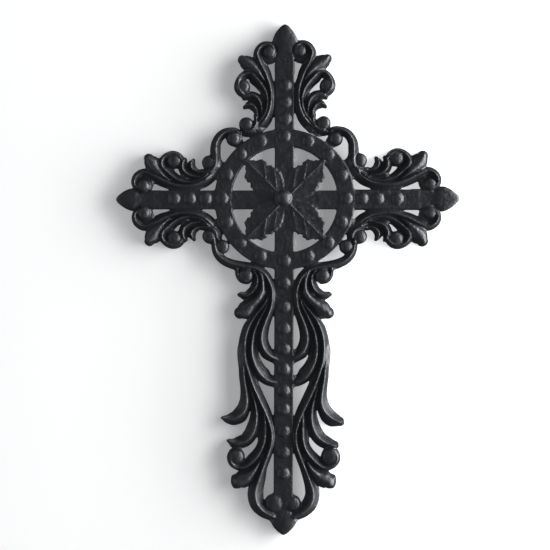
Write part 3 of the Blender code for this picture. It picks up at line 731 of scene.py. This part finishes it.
def attributes(obj, h):
    """Convex and hollow places, read from the relief, for the finish."""
    mesh = obj.data
    co = np.empty(len(mesh.vertices) * 3, np.float32)
    mesh.vertices.foreach_get("co", co)
    co = co.reshape(-1, 3)
    inside = (depth > 0).astype(float)
    wide = blur(h, 3.0 / STEP, inside)
    near = blur(h, 1.0 / STEP, inside)
    x, z = co[:, 0] / U, co[:, 2] / U
    rise = sample(near - wide, x, z)
    front = co[:, 1] < -3.0 * U
    edge = np.where(front, np.clip(rise / 2.2, 0, 1), 0.0)
    pit = np.where(front, np.clip(-rise / 2.0, 0, 1), 0.3)
    side = np.where((sample(depth, x, z) < 0.12) & (co[:, 1] < -0.3 * U), 1.0, 0.0)
    for name, val in (("edge", edge), ("pit", pit), ("side", side)):
        at = mesh.attributes.new(name, "FLOAT", "POINT")
        at.data.foreach_set("value", val.astype(np.float32))


# ------------------------------------------------------------------- finish
def iron():
    mat = bpy.data.materials.new("black_cast_iron")
    mat.use_nodes = True
    nt = mat.node_tree
    nodes, links = nt.nodes, nt.links
    bsdf = nodes["Principled BSDF"]
    coord = nodes.new("ShaderNodeTexCoord")

    def noise(scale, detail=3.0, rough=0.6):
        n = nodes.new("ShaderNodeTexNoise")
        n.inputs["Scale"].default_value = scale
        n.inputs["Detail"].default_value = detail
        n.inputs["Roughness"].default_value = rough
        links.new(coord.outputs["Object"], n.inputs["Vector"])
        return n

    def attr(name):
        n = nodes.new("ShaderNodeAttribute")
        n.attribute_name = name
        return n

    def ramp(src, lo, hi, a, b):
        n = nodes.new("ShaderNodeMapRange")
        n.inputs["From Min"].default_value = lo
        n.inputs["From Max"].default_value = hi
        n.inputs["To Min"].default_value = a
        n.inputs["To Max"].default_value = b
        links.new(src, n.inputs["Value"])
        return n.outputs["Result"]

    # colour: near black with random mottling, a little lighter on the raised crests in fine patches
    mottled = noise(90.0, 4.0)
    base = nodes.new("ShaderNodeMix")
    base.data_type = "RGBA"
    base.inputs["A"].default_value = (0.0089, 0.0096, 0.0113, 1)
    base.inputs["B"].default_value = (0.0134, 0.0144, 0.0169, 1)
    links.new(ramp(mottled.outputs["Fac"], 0.35, 0.68, 0, 1), base.inputs["Factor"])
    crest_lighter = nodes.new("ShaderNodeMix")
    crest_lighter.data_type = "RGBA"
    crest_lighter.inputs["B"].default_value = (0.037, 0.040, 0.045, 1)
    links.new(base.outputs["Result"], crest_lighter.inputs["A"])
    mul = nodes.new("ShaderNodeMath")
    mul.operation = "MULTIPLY"
    links.new(attr("edge").outputs["Fac"], mul.inputs[0])
    links.new(ramp(noise(420.0, 3.0).outputs["Fac"], 0.38, 0.66, 0.15, 0.9), mul.inputs[1])
    links.new(mul.outputs["Value"], crest_lighter.inputs["Factor"])
    links.new(crest_lighter.outputs["Result"], bsdf.inputs["Base Color"])

    rough = noise(260.0, 3.0)
    add = nodes.new("ShaderNodeMath")       # the drafted sides kept the mould's sand
    add.operation = "ADD"
    links.new(ramp(rough.outputs["Fac"], 0.3, 0.7, 0.30, 0.44), add.inputs[0])
    links.new(ramp(attr("side").outputs["Fac"], 0.0, 1.0, 0.0, 0.45), add.inputs[1])
    links.new(add.outputs["Value"], bsdf.inputs["Roughness"])

    links.new(ramp(attr("side").outputs["Fac"], 0.0, 1.0, 0.5, 0.1),
              bsdf.inputs["Specular IOR Level"])
    bsdf.inputs["Specular Tint"].default_value = (0.93, 0.965, 1.0, 1)

    fine = noise(2600.0, 3.0, 0.65)
    grain = noise(900.0, 3.0, 0.6)
    bump1 = nodes.new("ShaderNodeBump")
    bump1.inputs["Strength"].default_value = 0.65
    bump1.inputs["Distance"].default_value = 0.00025
    links.new(grain.outputs["Fac"], bump1.inputs["Height"])
    bump2 = nodes.new("ShaderNodeBump")
    bump2.inputs["Strength"].default_value = 0.45
    bump2.inputs["Distance"].default_value = 0.00012
    links.new(fine.outputs["Fac"], bump2.inputs["Height"])
    links.new(bump1.outputs["Normal"], bump2.inputs["Normal"])
    links.new(bump2.outputs["Normal"], bsdf.inputs["Normal"])
    return mat


# --------------------------------------------------------------------- build
cross, front = casting()
thin(cross)
attributes(cross, front)
cross.data.shade_smooth()
cross.data.set_sharp_from_angle(angle=math.radians(48))
cross.data.materials.clear()
cross.data.materials.append(iron())
print("triangles", sum(len(p.vertices) - 2 for p in cross.data.polygons))
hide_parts("cross_casting")
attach(cross, "root")

# ------------------------------------------------------- wall, light, camera
def backdrop():
    mesh = bpy.data.meshes.new("backdrop")
    s, y = 1.6, 0.0006
    mesh.from_pydata([(-s, y, -s), (s, y, -s), (s, y, s), (-s, y, s)], [], [(0, 1, 2, 3)])
    obj = bpy.data.objects.new("backdrop", mesh)
    bpy.context.scene.collection.objects.link(obj)
    mat = bpy.data.materials.new("white_painted_glow")
    mat.use_nodes = True
    nt = mat.node_tree
    bsdf = nt.nodes["Principled BSDF"]
    bsdf.inputs["Base Color"].default_value = (0.86, 0.86, 0.86, 1)
    bsdf.inputs["Roughness"].default_value = 0.9
    bsdf.inputs["Specular IOR Level"].default_value = 0.1
    # painted light: the emission set here makes the wall glow as if lit
    bsdf.inputs["Emission Color"].default_value = (0.97, 0.99, 1.0, 1)
    coord = nt.nodes.new("ShaderNodeTexCoord")
    axes = nt.nodes.new("ShaderNodeSeparateXYZ")
    nt.links.new(coord.outputs["Object"], axes.inputs["Vector"])
    away = nt.nodes.new("ShaderNodeVectorMath")
    away.operation = "LENGTH"
    nt.links.new(coord.outputs["Object"], away.inputs[0])

    def step(src, lo, hi, a, b):
        n = nt.nodes.new("ShaderNodeMapRange")
        n.interpolation_type = "SMOOTHSTEP"
        for name, val in (("From Min", lo * U), ("From Max", hi * U), ("To Min", a), ("To Max", b)):
            n.inputs[name].default_value = val
        nt.links.new(src, n.inputs["Value"])
        return n.outputs["Result"]

    def join(how, a, b):
        n = nt.nodes.new("ShaderNodeMath")
        n.operation = how
        nt.links.new(a, n.inputs[0])
        nt.links.new(b, n.inputs[1])
        return n.outputs["Value"]
    # painted light: the wall glows by itself all over, a little more towards the far left, and more
    # right of the axis past the ring's shade, fading far out, in place of daylight from the right
    right = join("MULTIPLY", step(axes.outputs["X"], 0.0, 34.0, 0.0, 0.37),
                 step(away.outputs["Value"], 58.0, 82.0, 0.0, 1.0))
    base = step(axes.outputs["X"], -260.0, -50.0, 0.33, 0.245)
    right = join("MULTIPLY", right, step(away.outputs["Value"], 340.0, 440.0, 1.0, 0.0))
    nt.links.new(join("ADD", right, base), bsdf.inputs["Emission Strength"])
    clear = nt.nodes.new("ShaderNodeBsdfTransparent")
    geo = nt.nodes.new("ShaderNodeNewGeometry")
    mix = nt.nodes.new("ShaderNodeMixShader")
    out = nt.nodes["Material Output"]
    nt.links.new(geo.outputs["Backfacing"], mix.inputs["Fac"])
    nt.links.new(bsdf.outputs["BSDF"], mix.inputs[1])
    nt.links.new(clear.outputs["BSDF"], mix.inputs[2])
    nt.links.new(mix.outputs["Shader"], out.inputs["Surface"])
    mesh.materials.append(mat)
    obj.visible_shadow = False
    obj.visible_diffuse = False
    obj.visible_glossy = False
    return obj


def area(name, loc, aim, size, power, colour=(1, 1, 1), size_y=None):
    light = bpy.data.lights.new(name, "AREA")
    light.energy = power
    light.color = colour
    light.shape = "RECTANGLE" if size_y else "SQUARE"
    light.size = size
    if size_y:
        light.size_y = size_y
    obj = bpy.data.objects.new(name, light)
    obj.location = loc
    obj.rotation_mode = "QUATERNION"
    obj.rotation_quaternion = (Vector(loc) - Vector(aim)).to_track_quat("Z", "Y")
    bpy.context.scene.collection.objects.link(obj)
    return obj


backdrop()
world = bpy.data.worlds.new("studio")
bpy.context.scene.world = world
world.use_nodes = True
bg = world.node_tree.nodes["Background"]
bg.inputs["Color"].default_value = (0.95, 0.98, 1.0, 1)
bg.inputs["Strength"].default_value = 0.07
view = bpy.context.scene.view_settings
view.view_transform = "Standard"
view.use_curve_mapping = True          # the lens' veiling glare lifts the blacks
view.curve_mapping.black_level = (-0.0044, -0.0048, -0.0055)
view.curve_mapping.update()

area("key", (0.85, -0.36, 0.10), (0.0, 0.0, -0.05), 0.26, 6.8, size_y=0.8)
area("wide", (1.05, -0.27, 0.04), (0.0, 0.0, -0.05), 1.1, 34.5, size_y=2.0)
area("low", (1.20, -0.15, -0.02), (0.0, 0.0, -0.05), 0.22, 25.0, size_y=2.2)
area("fill", (-1.10, -0.42, 0.0), (0.0, 0.0, -0.05), 1.0, 4.4, size_y=1.8)
area("behind", (0.0, 1.2, 0.15), (0.0, 0.0, -0.05), 0.9, 3.5)

cam_data = bpy.data.cameras.new("camera")
cam_data.sensor_width = 36.0
cam_data.lens = 84.36
cam = bpy.data.objects.new("camera", cam_data)
bpy.context.scene.collection.objects.link(cam)
cam.location = (-9.5 * U, -1299.0 * U, -75.4 * U)
cam.rotation_euler = (math.radians(90.0), 0.0, 0.0)
bpy.context.scene.camera = cam
